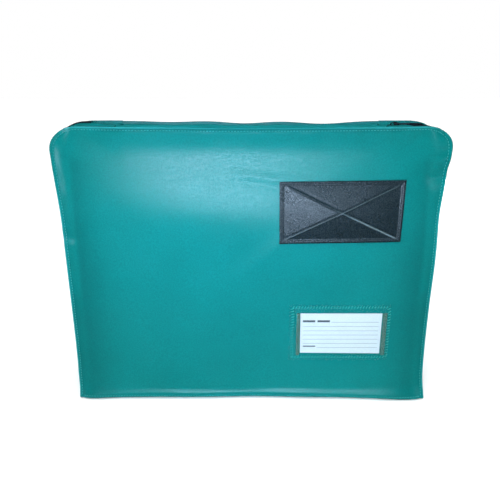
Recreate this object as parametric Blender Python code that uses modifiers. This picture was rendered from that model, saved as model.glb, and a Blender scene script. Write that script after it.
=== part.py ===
"""A gusseted cash deposit bag in vinyl-coated fabric, filled and standing up, with a zip along the top.

+Z is up, +X is to the right and the front faces -Y. The origin is the middle of the base.
"""

import math

import bmesh
import bpy
from mathutils import Vector

COLLECTION_NAME = "cash_deposit_bag"

# The bag as a whole, in metres.
HALF_WIDTH = 0.192
HEIGHT = 0.300
CORNER_RADIUS = 0.025
WALL = 0.0012
GAP = 0.0003
SEAM_GAP = 0.0009
SEAM_MARGIN = 0.004

# Depths from the middle plane out to the front face and the back face.
FRONT_DEPTH = 0.037
SIDE_DROP = 0.002
TOP_DROP = 0.005
BASE_ROLL = 0.014
CORNER_ROLL = 0.003

# The top gusset: its outer surface, and the corner it follows down to the side gussets.
TOP_LEVEL = 0.2975
GUSSET_X = HALF_WIDTH - SEAM_MARGIN
GUSSET_CORNER = 0.022
END_PIECE_FOOT = 0.262
MOUTH_HALF_LENGTH = 0.138
END_START = MOUTH_HALF_LENGTH + 0.001
STRIP_INNER_Y = 0.0075
MOUTH_AXIS_INSET = 0.0006

# The zip.
TAPE_OUTER_Y = 0.0190
TAPE_INNER_Y = 0.0033
TAPE_THICKNESS = 0.0006
TAPE_LEVEL = TOP_LEVEL - WALL - GAP - TAPE_THICKNESS
COIL_OUTER_Y = 0.0030
COIL_INNER_Y = 0.0008
COIL_HEIGHT = 0.0020
COIL_LEVEL = TAPE_LEVEL - 0.0004
ZIP_CLOSED_X = 0.160
TAPE_END_X = 0.166
SLIDER_X = 0.147
SLIDER_LENGTH = 0.013
SLIDER_WIDTH = 0.010
SLIDER_PLATE = 0.0012
SLIDER_TOP = COIL_LEVEL + COIL_HEIGHT + 0.0004
PULLER_AXIS_Z = SLIDER_TOP + SLIDER_PLATE + 0.0012
PULLER_LENGTH = 0.0285
PULLER_WIDTH = 0.0064
PULLER_THICKNESS = 0.0012
BAR_HALF = 0.0006
BAIL_HALF_LENGTH = 0.004
BAIL_WIDTH = 0.0018

# What is sewn on the front: a dark patch, and a clear window with a card behind it.
PATCH_X = (0.0290, 0.1535)
PATCH_Z = (0.1855, 0.2475)
WINDOW_X = (0.0415, 0.1510)
WINDOW_Z = (0.0472, 0.1142)
WINDOW_BORDER = 0.0065
FILM = 0.0006
CARD_SIZE = (0.0880, 0.0482)
CARD_X = 0.0537
CARD_Z = 0.0561
CARD_THICKNESS = 0.0004
POCKET_DEPTH = CARD_THICKNESS + 2 * GAP
THREAD_RADIUS = 0.0003
STITCH_INSET = 0.0030

WINDOW_FRONT = FRONT_DEPTH + GAP + POCKET_DEPTH + FILM
BACK_DEPTH = WINDOW_FRONT + GAP + 2 * THREAD_RADIUS

TEAL = (0.010, 0.290, 0.300)
SLATE = (0.020, 0.035, 0.050)
NAVY = (0.008, 0.012, 0.022)


def clear_scene():
    for old in list(bpy.data.objects):
        bpy.data.objects.remove(old, do_unlink=True)


def make_collection(name):
    made = bpy.data.collections.new(name)
    bpy.context.scene.collection.children.link(made)
    return made


def make_material(name, colour, roughness, metallic=0.0, alpha=1.0):
    material = bpy.data.materials.new(name)
    material.use_nodes = True
    shader = material.node_tree.nodes["Principled BSDF"]
    shader.inputs["Base Color"].default_value = (*colour, 1.0)
    shader.inputs["Roughness"].default_value = roughness
    shader.inputs["Metallic"].default_value = metallic
    shader.inputs["Alpha"].default_value = alpha
    return material


def add_object(name, mesh, collection, material=None, location=(0, 0, 0)):
    made = bpy.data.objects.new(name, mesh)
    made.location = location
    collection.objects.link(made)
    if material is not None:
        mesh.materials.append(material)
    return made


def add_box(name, low, high, collection, material=None, bevel=0.0, origin=(0, 0, 0)):
    """A block between two corners, given from its origin, with rounded edges where bevel is set."""
    low, high = Vector(low), Vector(high)
    work = bmesh.new()
    bmesh.ops.create_cube(work, size=1.0)
    bmesh.ops.scale(work, vec=high - low, verts=work.verts)
    bmesh.ops.translate(work, vec=(low + high) / 2, verts=work.verts)
    mesh = bpy.data.meshes.new(name)
    work.to_mesh(mesh)
    work.free()
    made = add_object(name, mesh, collection, material, origin)
    if bevel:
        rounding = made.modifiers.new("rounded edges", "BEVEL")
        rounding.width = bevel
        rounding.segments = 2
    return made


def combine(target, other, operation):
    """Cuts other out of target, or joins it on. The other object is kept as a wire guide."""
    other.hide_render = True
    other.display_type = "WIRE"
    step = target.modifiers.new(operation.lower(), "BOOLEAN")
    step.operation = operation
    step.solver = "EXACT"
    step.object = other


def add_surface(name, rows, collection, material, outwards, thickness=WALL):
    """A sheet through rows of points, thickened inwards, away from the direction outwards."""
    work = bmesh.new()
    grid = [[work.verts.new(point) for point in row] for row in rows]
    for lower, upper in zip(grid, grid[1:]):
        for i in range(len(lower) - 1):
            work.faces.new((lower[i], lower[i + 1], upper[i + 1], upper[i]))
    work.normal_update()
    total = sum((face.normal for face in work.faces), Vector())
    if total.dot(Vector(outwards)) < 0:
        bmesh.ops.reverse_faces(work, faces=work.faces)
    mesh = bpy.data.meshes.new(name)
    work.to_mesh(mesh)
    work.free()
    mesh.shade_smooth()
    made = add_object(name, mesh, collection, material)
    wall = made.modifiers.new("wall", "SOLIDIFY")
    wall.thickness = thickness
    wall.offset = -1.0
    wall.use_even_offset = True
    return made


def spread(low, high, count):
    """count + 1 evenly spaced values from low to high."""
    return [low + (high - low) * i / count for i in range(count + 1)]


# The bag's outer form.


def roll_radius(x):
    """Radius that the panel's foot turns under with: large in the middle, small at the corners."""
    share = min(abs(x) / HALF_WIDTH, 1.0)
    return CORNER_ROLL + (BASE_ROLL - CORNER_ROLL) * (1 - share**4)


def face_depth(x, z, depth):
    """Distance from the middle plane to a panel's outer face, above its rolled foot."""
    share_x = min(abs(x) / HALF_WIDTH, 1.0)
    share_z = max(z, 0.0) / HEIGHT
    return depth - SIDE_DROP * share_x**10 - TOP_DROP * share_z**14


def inner_depth(x, z, depth):
    """Distance from the middle plane to where a gusset's edge ends, just inside the panel."""
    radius = roll_radius(x)
    if z >= radius:
        return face_depth(x, z, depth) - WALL - SEAM_GAP
    inner = radius - WALL
    reach = math.sqrt(max(inner**2 - (radius - z) ** 2, 0.0))
    return face_depth(x, radius, depth) - radius + reach - SEAM_GAP


def outer_depth(x, z, depth):
    """Distance from the middle plane to a panel's outer surface, its rolled foot included."""
    radius = roll_radius(x)
    if z >= radius:
        return face_depth(x, z, depth)
    reach = math.sqrt(max(radius**2 - (radius - z) ** 2, 0.0))
    return face_depth(x, radius, depth) - radius + reach


def panel_half_width(z):
    """Half the panel's width at a height, with its two round top corners."""
    above = z - (HEIGHT - CORNER_RADIUS)
    if above <= 0:
        return HALF_WIDTH
    return HALF_WIDTH - CORNER_RADIUS + math.sqrt(max(CORNER_RADIUS**2 - above**2, 0.0))


def add_panel(name, side, depth, collection, material):
    """The front panel (side -1) or the back panel (side 1), from its rolled foot to its top edge."""
    columns, roll_rows, face_rows, corner_rows = 24, 4, 7, 5
    rows = []
    for i in range(roll_rows):
        angle = math.pi / 2 * i / roll_rows
        row = []
        for x in spread(-HALF_WIDTH, HALF_WIDTH, columns):
            radius = roll_radius(x)
            out = face_depth(x, radius, depth) - radius + radius * math.sin(angle)
            row.append((x, side * out, radius - radius * math.cos(angle)))
        rows.append(row)
    for share in spread(0.0, 1.0, face_rows):
        row = []
        for x in spread(-HALF_WIDTH, HALF_WIDTH, columns):
            foot = roll_radius(x)
            z = foot + (HEIGHT - CORNER_RADIUS - foot) * share
            row.append((x, side * face_depth(x, z, depth), z))
        rows.append(row)
    for angle in spread(0.0, math.pi / 2, corner_rows)[1:]:
        z = HEIGHT - CORNER_RADIUS + CORNER_RADIUS * math.sin(angle)
        half = panel_half_width(z)
        rows.append([(x, side * face_depth(x, z, depth), z) for x in spread(-half, half, columns)])
    return add_surface(name, rows, collection, material, (0, side, 0))


def gusset_row(x, z, count):
    """Points across a gusset, from inside the front panel to inside the back panel."""
    front = -inner_depth(x, z, FRONT_DEPTH)
    back = inner_depth(x, z, BACK_DEPTH)
    return [(x, y, z) for y in spread(front, back, count)]


def add_side_gusset(name, side, collection, material):
    foot = spread(0.0, CORNER_ROLL, 3)
    heights = foot + spread(CORNER_ROLL, END_PIECE_FOOT - GAP, 8)[1:]
    rows = [gusset_row(side * GUSSET_X, z, 2) for z in heights]
    return add_surface(name, rows, collection, material, (side, 0, 0))


def add_bottom_gusset(collection, material):
    """The flat base that the bag stands on, between the two rolled feet of the panels."""
    reach = GUSSET_X - WALL - GAP
    rows = [gusset_row(x, 0.0, 2) for x in spread(-reach, reach, 20)]
    return add_surface("bottom_gusset", rows, collection, material, (0, 0, -1))


def add_top_end(name, side, collection, cutters, material):
    """The closed end of the top gusset: it carries the zip's end, and turns down round the corner."""
    centre_x = GUSSET_X - GUSSET_CORNER
    centre_z = TOP_LEVEL - GUSSET_CORNER
    line = [(GUSSET_X, END_PIECE_FOOT)]
    for angle in spread(0.0, math.pi / 2, 7):
        point = (centre_x + GUSSET_CORNER * math.cos(angle), centre_z + GUSSET_CORNER * math.sin(angle))
        line.append(point)
    line.append((END_START, TOP_LEVEL))
    rows = [gusset_row(side * x, z, 4) for x, z in line]
    made = add_surface(name, rows, collection, material, (side, 0, 1))
    slot = add_box(
        name + "_slot",
        (-0.001, -STRIP_INNER_Y, -0.005),
        (ZIP_CLOSED_X - END_START, STRIP_INNER_Y, 0.005),
        cutters,
        origin=(side * END_START, 0, TOP_LEVEL),
    )
    slot.rotation_euler = (0, 0, 0 if side > 0 else math.pi)
    combine(made, slot, "DIFFERENCE")
    return made


# The zip and the two strips that it joins.


def add_mouth_strip(name, side, depth, collection, material):
    """One openable side of the top gusset. Its origin is on the seam that it folds along."""
    seam_y = inner_depth(0, TOP_LEVEL, depth)
    axis_y = seam_y - MOUTH_AXIS_INSET
    y_low, y_high = sorted((side * (STRIP_INNER_Y - axis_y), side * MOUTH_AXIS_INSET))
    low = (-MOUTH_HALF_LENGTH, y_low, -WALL / 2)
    high = (MOUTH_HALF_LENGTH, y_high, WALL / 2)
    origin = (0, side * axis_y, TOP_LEVEL - WALL / 2)
    return add_box(name, low, high, collection, material, origin=origin)


def mirrored_box(name, side, near, far, x_reach, level, height, collection, material, bevel=0.0):
    """A long bar on one side of the zip's centre line, between two distances from it."""
    y_low, y_high = sorted((side * near, side * far))
    low, high = (-x_reach, y_low, level), (x_reach, y_high, level + height)
    return add_box(name, low, high, collection, material, bevel)


def add_zip_side(word, side, collection, tape, coil):
    mirrored_box(
        "zip_tape_" + word, side, TAPE_INNER_Y, TAPE_OUTER_Y,
        MOUTH_HALF_LENGTH, TAPE_LEVEL, TAPE_THICKNESS, collection, tape,
    )
    mirrored_box(
        "zip_coil_" + word, side, COIL_INNER_Y, COIL_OUTER_Y,
        MOUTH_HALF_LENGTH, COIL_LEVEL, COIL_HEIGHT, collection, coil, bevel=0.0006,
    )


def add_fork(name, side, x_range, half_width, slot_half, slot_end, z_range, collection, cutters, material):
    """A plate with a slot from its inner end: the zip's fixed tapes or its fixed coils."""
    x_low, x_high = sorted((side * x_range[0], side * x_range[1]))
    made = add_box(
        name, (x_low, -half_width, z_range[0]), (x_high, half_width, z_range[1]), collection, material
    )
    cut_low, cut_high = sorted((side * (x_range[0] - 0.001), side * slot_end))
    slot = add_box(
        name + "_slot",
        (cut_low, -slot_half, z_range[0] - 0.001),
        (cut_high, slot_half, z_range[1] + 0.001),
        cutters,
    )
    combine(made, slot, "DIFFERENCE")
    return made


def add_zip_end(word, side, collection, cutters, tape, coil, metal):
    """Fixed tapes, fixed coils and stop at one end of the zip, where the slider parks."""
    coil_end = ZIP_CLOSED_X - GAP
    stop_length = 0.0024
    add_fork(
        "zip_tape_end_" + word, side, (END_START, TAPE_END_X), TAPE_OUTER_Y, TAPE_INNER_Y, ZIP_CLOSED_X,
        (TAPE_LEVEL, TAPE_LEVEL + TAPE_THICKNESS), collection, cutters, tape,
    )
    add_fork(
        "zip_coil_end_" + word, side, (END_START, coil_end), COIL_OUTER_Y, COIL_INNER_Y,
        coil_end - stop_length, (COIL_LEVEL, COIL_LEVEL + COIL_HEIGHT), collection, cutters, coil,
    )
    stop_level = COIL_LEVEL + COIL_HEIGHT + GAP
    x_low, x_high = sorted((side * (coil_end - stop_length), side * coil_end))
    add_box(
        "zip_stop_" + word,
        (x_low, -COIL_OUTER_Y, stop_level),
        (x_high, COIL_OUTER_Y, stop_level + 0.0007),
        collection,
        metal,
        bevel=0.0002,
    )


def add_slider(collection, cutters, material):
    """Slider body: an upper and a lower plate, the neck between the two coils, and the bail on top."""
    half_length, half_width = SLIDER_LENGTH / 2, SLIDER_WIDTH / 2
    origin = (SLIDER_X, 0, SLIDER_TOP)
    lower_top = COIL_LEVEL - 0.0004 - SLIDER_TOP
    body = add_box(
        "zip_slider",
        (-half_length, -half_width, 0),
        (half_length, half_width, SLIDER_PLATE),
        collection,
        material,
        bevel=0.0004,
        origin=origin,
    )
    lower = add_box(
        "slider_lower_plate",
        (-half_length, -half_width, lower_top - SLIDER_PLATE),
        (half_length, half_width, lower_top),
        cutters,
        bevel=0.0004,
        origin=origin,
    )
    neck = add_box(
        "slider_neck", (0.001, -0.0005, lower_top - 0.0005), (0.0055, 0.0005, 0.0005), cutters, origin=origin
    )
    bail_top = PULLER_AXIS_Z - SLIDER_TOP + 0.0022
    bail = add_box(
        "slider_bail",
        (-BAIL_HALF_LENGTH, -BAIL_WIDTH / 2, SLIDER_PLATE - 0.0004),
        (BAIL_HALF_LENGTH, BAIL_WIDTH / 2, bail_top),
        cutters,
        bevel=0.0004,
        origin=origin,
    )
    bail_window = add_box(
        "slider_bail_window",
        (-BAIL_HALF_LENGTH + 0.001, -0.003, SLIDER_PLATE),
        (BAIL_HALF_LENGTH - 0.001, 0.003, bail_top - 0.0010),
        cutters,
        origin=origin,
    )
    combine(body, lower, "UNION")
    combine(body, neck, "UNION")
    combine(body, bail, "UNION")
    combine(body, bail_window, "DIFFERENCE")
    for side in (-1, 1):
        y_low, y_high = sorted((side * (half_width - 0.0007), side * half_width))
        lip = add_box(
            f"slider_lip_{side}",
            (-half_length + 0.0006, y_low, -0.0006),
            (half_length - 0.0006, y_high - side * 0.0001, 0.0006),
            cutters,
            origin=origin,
        )
        combine(body, lip, "UNION")
    return body


def add_puller(collection, cutters, material):
    """The pull tab. Its cross bar passes under the bail, and its origin is on that bar's axis."""
    origin = (SLIDER_X, 0, PULLER_AXIS_Z)
    half_width, half_thick = PULLER_WIDTH / 2, PULLER_THICKNESS / 2
    made = add_box(
        "zip_puller",
        (-BAR_HALF, -half_width, -half_thick),
        (PULLER_LENGTH, half_width, half_thick),
        collection,
        material,
        origin=origin,
    )
    window = add_box(
        "puller_window", (BAR_HALF, -0.0015, -0.002), (BAR_HALF + 0.0048, 0.0015, 0.002), cutters, origin=origin
    )
    grip_hole = add_box(
        "puller_grip_hole",
        (PULLER_LENGTH - 0.0140, -0.0014, -0.002),
        (PULLER_LENGTH - 0.0030, 0.0014, 0.002),
        cutters,
        origin=origin,
    )
    combine(made, window, "DIFFERENCE")
    combine(made, grip_hole, "DIFFERENCE")
    return made


# What is sewn on the front.


def add_patch(collection, material):
    front = -(FRONT_DEPTH + GAP)
    low, high = (PATCH_X[0], front - WALL, PATCH_Z[0]), (PATCH_X[1], front, PATCH_Z[1])
    return add_box("front_patch", low, high, collection, material, bevel=0.0003)


def add_window(collection, cutters, film):
    """Clear film sewn down on three sides. Its pocket is open on the right, where the card slides out."""
    back = -(FRONT_DEPTH + GAP)
    made = add_box(
        "label_window",
        (WINDOW_X[0], -WINDOW_FRONT, WINDOW_Z[0]),
        (WINDOW_X[1], back, WINDOW_Z[1]),
        collection,
        film,
    )
    pocket = add_box(
        "label_pocket",
        (WINDOW_X[0] + WINDOW_BORDER, back - POCKET_DEPTH, WINDOW_Z[0] + WINDOW_BORDER),
        (WINDOW_X[1] + 0.001, back + 0.001, WINDOW_Z[1] - WINDOW_BORDER),
        cutters,
    )
    combine(made, pocket, "DIFFERENCE")
    return made


def add_card(collection, material):
    front = -(FRONT_DEPTH + 2 * GAP)
    return add_box(
        "insert_card",
        (CARD_X, front - CARD_THICKNESS, CARD_Z),
        (CARD_X + CARD_SIZE[0], front, CARD_Z + CARD_SIZE[1]),
        collection,
        material,
    )


def add_thread(name, points, collection, material):
    """A closed line of stitching as one thin tube."""
    curve = bpy.data.curves.new(name, "CURVE")
    curve.dimensions = "3D"
    spline = curve.splines.new("POLY")
    spline.points.add(len(points) - 1)
    for knot, point in zip(spline.points, points):
        knot.co = (*point, 1.0)
    spline.use_cyclic_u = True
    curve.bevel_depth = THREAD_RADIUS
    curve.bevel_resolution = 0
    curve.materials.append(material)
    made = bpy.data.objects.new(name, curve)
    collection.objects.link(made)
    return made


def panel_seam_line(side, depth):
    """Where a panel is stitched to the gussets: a loop a little inside its edge, on its outer face."""
    reach = HALF_WIDTH - STITCH_INSET
    top = HEIGHT - STITCH_INSET
    radius = CORNER_RADIUS - STITCH_INSET
    foot = 0.0045
    outline = [(reach, z) for z in spread(foot, top - radius, 5)]
    for angle in spread(0.0, math.pi / 2, 6)[1:]:
        outline.append((reach - radius + radius * math.cos(angle), top - radius + radius * math.sin(angle)))
    outline += [(x, top) for x in spread(reach - radius, 0.0, 3)[1:]]
    outline += [(-x, z) for x, z in reversed(outline[:-1])]
    outline += [(x, foot) for x in spread(-reach, reach, 12)[1:-1]]
    stand_off = THREAD_RADIUS + SEAM_GAP
    return [(x, side * (outer_depth(x, z, depth) + stand_off), z) for x, z in outline]


def rectangle_line(x_range, z_range, inset, y):
    x_low, x_high = x_range[0] + inset, x_range[1] - inset
    z_low, z_high = z_range[0] + inset, z_range[1] - inset
    return [(x_low, y, z_low), (x_high, y, z_low), (x_high, y, z_high), (x_low, y, z_high)]


def build():
    clear_scene()
    parts = make_collection(COLLECTION_NAME)
    cutters = make_collection("cutters")
    vinyl = make_material("teal vinyl", TEAL, 0.38)
    slate = make_material("dark grained vinyl", SLATE, 0.40)
    tape = make_material("zip tape", NAVY, 0.85)
    coil = make_material("nylon coil", NAVY, 0.45)
    metal = make_material("dark enamelled metal", (0.030, 0.034, 0.040), 0.35, metallic=0.8)
    film = make_material("clear film", (0.80, 0.90, 0.92), 0.10, alpha=0.35)
    card = make_material("card", (0.75, 0.85, 0.92), 0.60)
    thread = make_material("teal thread", (0.020, 0.230, 0.240), 0.70)

    add_panel("front_panel", -1, FRONT_DEPTH, parts, vinyl)
    add_panel("back_panel", 1, BACK_DEPTH, parts, vinyl)
    add_bottom_gusset(parts, vinyl)
    for word, side in (("left", -1), ("right", 1)):
        add_side_gusset(word + "_gusset", side, parts, vinyl)
        add_top_end("top_end_" + word, side, parts, cutters, vinyl)
        add_zip_end(word, side, parts, cutters, tape, coil, metal)
    for word, side, depth in (("front", -1, FRONT_DEPTH), ("rear", 1, BACK_DEPTH)):
        add_mouth_strip("mouth_strip_" + word, side, depth, parts, vinyl)
        add_zip_side(word, side, parts, tape, coil)
    add_slider(parts, cutters, metal)
    add_puller(parts, cutters, metal)
    add_patch(parts, slate)
    add_window(parts, cutters, film)
    add_card(parts, card)

    add_thread("front_seam_thread", panel_seam_line(-1, FRONT_DEPTH), parts, thread)
    add_thread("rear_seam_thread", panel_seam_line(1, BACK_DEPTH), parts, thread)
    patch_front = -(FRONT_DEPTH + GAP + WALL + GAP + THREAD_RADIUS)
    add_thread("patch_thread", rectangle_line(PATCH_X, PATCH_Z, 0.003, patch_front), parts, thread)
    window_front = -(WINDOW_FRONT + GAP + THREAD_RADIUS)
    add_thread("window_thread", rectangle_line(WINDOW_X, WINDOW_Z, 0.003, window_front), parts, thread)


build()
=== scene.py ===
# Looks for the gusseted cash deposit bag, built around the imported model.
import math

import bmesh
import bpy
import numpy as np
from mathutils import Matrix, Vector


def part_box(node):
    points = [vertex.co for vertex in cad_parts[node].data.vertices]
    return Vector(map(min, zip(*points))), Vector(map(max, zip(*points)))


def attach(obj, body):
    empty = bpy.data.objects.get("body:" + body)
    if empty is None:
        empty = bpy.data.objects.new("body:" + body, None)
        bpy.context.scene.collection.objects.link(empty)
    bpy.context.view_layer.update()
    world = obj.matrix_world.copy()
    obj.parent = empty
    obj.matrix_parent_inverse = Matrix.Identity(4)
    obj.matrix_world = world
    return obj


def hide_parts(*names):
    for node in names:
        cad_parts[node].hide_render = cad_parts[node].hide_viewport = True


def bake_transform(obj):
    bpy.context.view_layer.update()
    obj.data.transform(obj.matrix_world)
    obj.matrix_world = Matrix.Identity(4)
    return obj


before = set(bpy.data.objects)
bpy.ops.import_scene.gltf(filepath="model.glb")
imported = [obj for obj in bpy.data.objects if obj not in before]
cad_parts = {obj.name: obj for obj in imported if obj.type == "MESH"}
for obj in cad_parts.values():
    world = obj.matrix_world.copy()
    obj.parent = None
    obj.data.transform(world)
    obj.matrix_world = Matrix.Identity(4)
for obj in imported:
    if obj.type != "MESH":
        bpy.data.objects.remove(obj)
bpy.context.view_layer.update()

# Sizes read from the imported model, in metres.
panel_low, panel_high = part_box("front_panel")
strip_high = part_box("mouth_strip_front")[1]
coil_low, coil_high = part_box("zip_coil_front")
tape_low, tape_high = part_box("zip_tape_front")
stop_low, stop_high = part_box("zip_stop_right")
slider_low, slider_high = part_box("zip_slider")
puller_low, puller_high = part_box("zip_puller")
patch_low, patch_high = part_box("front_patch")
window_low, window_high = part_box("label_window")
card_low, card_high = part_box("insert_card")

W = panel_high.x
H = panel_high.z
FRONT = -panel_low.y
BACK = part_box("back_panel")[1].y
MOUTH_X = strip_high.x
TOP_LEVEL = strip_high.z
SLOT_Y = -strip_high.y
ZIP_END_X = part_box("zip_coil_end_right")[1].x
COIL_Z = (coil_low.z + coil_high.z) / 2
CAP_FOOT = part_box("top_end_right")[0].z

# Sizes of the soft form.
CORNER = 0.025
BAND_CORNER = 0.022
BAND_INSET = 0.0038
SKIN = 0.0010
CLEAR = 0.0002
SEAM = 0.0040
STITCH_INSET = 0.0029
LIP = 0.0030
FOOT_ROLL = 0.0062
CORNER_ROLL = 0.003
CAP_LAP = 0.006
CLOTH = 0.0005


# Helpers.


def gauss(t):
    return np.exp(-0.5 * t * t)


def smooth(a, b, t):
    t = np.clip((np.asarray(t, float) - a) / (b - a), 0.0, 1.0)
    return t * t * (3 - 2 * t)


def between(a, b, c, d, t):
    """1 between b and c, easing down to 0 at a and at d."""
    return smooth(a, b, t) * (1 - smooth(c, d, t))


def ridge(x, z, start, end, width, height, fade=0.25):
    """A soft fold of that height along a line on a panel, dying away at both ends."""
    ax, az = start
    dx, dz = end[0] - ax, end[1] - az
    length2 = dx * dx + dz * dz
    t = ((x - ax) * dx + (z - az) * dz) / length2
    off = np.abs((x - ax) * dz - (z - az) * dx) / math.sqrt(length2)
    return height * gauss(off / width) * between(-fade, fade, 1 - fade, 1 + fade, t)


def lean(z, start, end, slope, soft_start, soft_end):
    """A steady slope between two heights, with its two bends rounded off."""
    low = soft_start * np.logaddexp(0, (z - start) / soft_start)
    high = soft_end * np.logaddexp(0, (z - end) / soft_end)
    return slope * (low - high)


def edge_steps(total, fine, coarse, growth=1.22):
    """Distances from an edge, 0 to total, close together at the edge and wider further in."""
    steps, gap = [0.0], fine
    while steps[-1] < total:
        steps.append(steps[-1] + gap)
        gap = min(gap * growth, coarse)
    steps = np.array(steps)
    return steps * (total / steps[-1])


def both_ends(total, fine, coarse):
    """Steps from 0 to total that are close together at both ends."""
    half = edge_steps(total / 2, fine, coarse)
    return np.concatenate([half, total - half[::-1][1:]])


def grid_normals(points):
    across = np.gradient(points, axis=1)
    along = np.gradient(points, axis=0)
    n = np.cross(across, along)
    length = np.linalg.norm(n, axis=2, keepdims=True)
    return n / np.maximum(length, 1e-12)


def with_normals(at, u, v, step):
    """Points and normals of a surface, given as a function of two places along it."""
    n = np.cross(at(u + step, v) - at(u - step, v), at(u, v + step) - at(u, v - step))
    return at(u, v), n / np.linalg.norm(n, axis=-1, keepdims=True)


def link(name, data):
    made = bpy.data.objects.new(name, data)
    bpy.context.scene.collection.objects.link(made)
    return made


def mesh_object(name, verts, faces, materials, face_slots=None, sharp=None):
    mesh = bpy.data.meshes.new(name)
    mesh.from_pydata([tuple(v) for v in verts], [], [tuple(int(i) for i in f) for f in faces])
    mesh.validate()
    for m in materials:
        mesh.materials.append(m)
    if face_slots is not None:
        mesh.polygons.foreach_set("material_index", np.asarray(face_slots, np.int32))
    mesh.shade_smooth()
    if sharp is not None:
        mesh.set_sharp_from_angle(angle=math.radians(sharp))
    return link(name, mesh)


def sheet(name, points, thickness, materials, outwards, keep=None, attributes=None):
    """A thick sheet: the grid of points is its outer face, and it is thickened away from outwards.
    keep leaves out some squares of the grid. A second material goes on the inner face."""
    points = np.asarray(points)
    rows, cols = points.shape[:2]
    n = grid_normals(points)
    flip = float((n.reshape(-1, 3) @ np.array(outwards, float)).sum()) < 0
    if flip:
        n = -n
    inner = points - n * thickness
    verts = np.concatenate([points.reshape(-1, 3), inner.reshape(-1, 3)])
    count = rows * cols
    r, c = np.meshgrid(np.arange(rows - 1), np.arange(cols - 1), indexing="ij")
    a = (r * cols + c).ravel()
    quads = np.stack([a, a + 1, a + cols + 1, a + cols], axis=1)
    if keep is not None:
        quads = quads[keep.ravel()]
    if flip:
        quads = quads[:, ::-1]
    starts, ends = quads.ravel(), np.roll(quads, -1, axis=1).ravel()
    there = set(zip(starts.tolist(), ends.tolist()))
    rim = sorted((b, a, a + count, b + count) for a, b in there if (b, a) not in there)
    faces = np.concatenate([quads, quads[:, ::-1] + count, np.array(rim)])
    slots = np.zeros(len(faces), int)
    if len(materials) > 1:
        slots[len(quads):2 * len(quads)] = 1
    used = np.unique(faces)
    renumber = np.zeros(len(verts), int)
    renumber[used] = np.arange(len(used))
    made = mesh_object(name, verts[used], renumber[faces], materials, slots, 50)
    for label, values in (attributes or {}).items():
        layer = made.data.attributes.new(label, "FLOAT", "POINT")
        both = np.concatenate([values.ravel(), values.ravel()])[used].astype(np.float32)
        layer.data.foreach_set("value", both)
    return made


def ring_faces(start, rings, sides):
    """Faces of a closed-end tube whose rings of vertices follow each other from start."""
    faces = []
    for i in range(rings - 1):
        for k in range(sides):
            a, b = start + i * sides + k, start + i * sides + (k + 1) % sides
            faces.append((a, b, b + sides, a + sides))
    faces.append(tuple(range(start + sides - 1, start - 1, -1)))
    last = start + (rings - 1) * sides
    faces.append(tuple(range(last, last + sides)))
    return faces


def join(parts):
    verts, faces = [], []
    for more, add in parts:
        faces += [tuple(i + len(verts) for i in f) for f in add]
        verts += list(more)
    return verts, faces


def stand_for(made, node, body="bag"):
    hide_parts(node)
    if body is not None:
        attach(made, body)


# The bag's soft form. x and z are places on a panel, and out is the distance from the middle plane.


def edge_distance(x, z):
    """How far inside the panel's outline a point is, at the sides, the top and the round corners."""
    qx = np.abs(x) - (W - CORNER)
    qz = z - (H - CORNER)
    corner = CORNER - np.hypot(np.maximum(qx, 0), np.maximum(qz, 0))
    straight = np.minimum(W - np.abs(x), H - z)
    return np.where((qx > 0) & (qz > 0), corner, straight)


def side_distance(x, z):
    """The same from the two sides and the round corners only, easing off along the top."""
    qx = np.abs(x) - (W - CORNER)
    qz = np.maximum(z - (H - CORNER), 0) * smooth(0.0, 0.016, qx)
    return CORNER - np.where(qx > 0, np.hypot(qx, qz), qx)


def seam_pull(x, z):
    """Depth lost towards the seams: the skin is held down there, with a groove at the stitches."""
    inside = side_distance(x, z)
    pull = 0.0036 * np.exp(-inside / 0.026) + 0.0032 * np.exp(-np.maximum(inside - SEAM, 0) / 0.0085)
    return pull + 0.00022 * gauss((edge_distance(x, z) - STITCH_INSET) / 0.0007)


def puckers(x, z, height):
    """Small gathers that the stitching draws into the skin beside a seam."""
    along = np.where(np.abs(x) > W - 0.03, z, x)
    wave = np.sin(along / 0.0047 + 2.1 * np.sin(along / 0.031)) + 0.6 * np.sin(along / 0.0083 + 1.3)
    return height * wave * gauss((edge_distance(x, z) - 0.0075) / 0.0030)


def foot_swell(x, z, side, width, height, length):
    """What fills the bag pushes the skin out at a foot corner."""
    return height * gauss((x - side * W) / width) * np.exp(-np.maximum(z, 0) / length)


# Folds as start, end, half width, height and fade. A height below zero is a dent.
FRONT_FOLDS = (
    ((0.033, 0.184), (-0.024, 0.137), 0.0070, 0.0009, 0.25),
    ((-0.016, 0.2535), (0.036, 0.2470), 0.0030, 0.00045, 0.25),
    ((-0.012, 0.2490), (0.036, 0.2425), 0.0032, -0.00035, 0.25),
    ((-0.190, 0.191), (-0.180, 0.186), 0.0045, -0.0020, 0.25),
    ((-0.1818, 0.272), (-0.1812, 0.212), 0.0060, 0.0007, 0.25),
    ((0.198, 0.259), (0.178, 0.248), 0.0055, -0.0020, 0.45),
    ((0.197, 0.270), (0.183, 0.266), 0.0042, 0.0020, 0.25),
    ((0.180, 0.155), (0.183, 0.120), 0.0060, 0.0010, 0.25),
)
BACK_FOLDS = (
    ((-0.165, 0.245), (-0.090, 0.190), 0.010, 0.0016, 0.25),
    ((0.170, 0.235), (0.110, 0.150), 0.011, 0.0018, 0.25),
    ((0.140, 0.250), (0.085, 0.205), 0.007, -0.0009, 0.25),
    ((-0.150, 0.055), (-0.080, 0.095), 0.010, 0.0012, 0.25),
    ((-0.030, 0.255), (0.050, 0.246), 0.006, -0.0008, 0.25),
)


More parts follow.
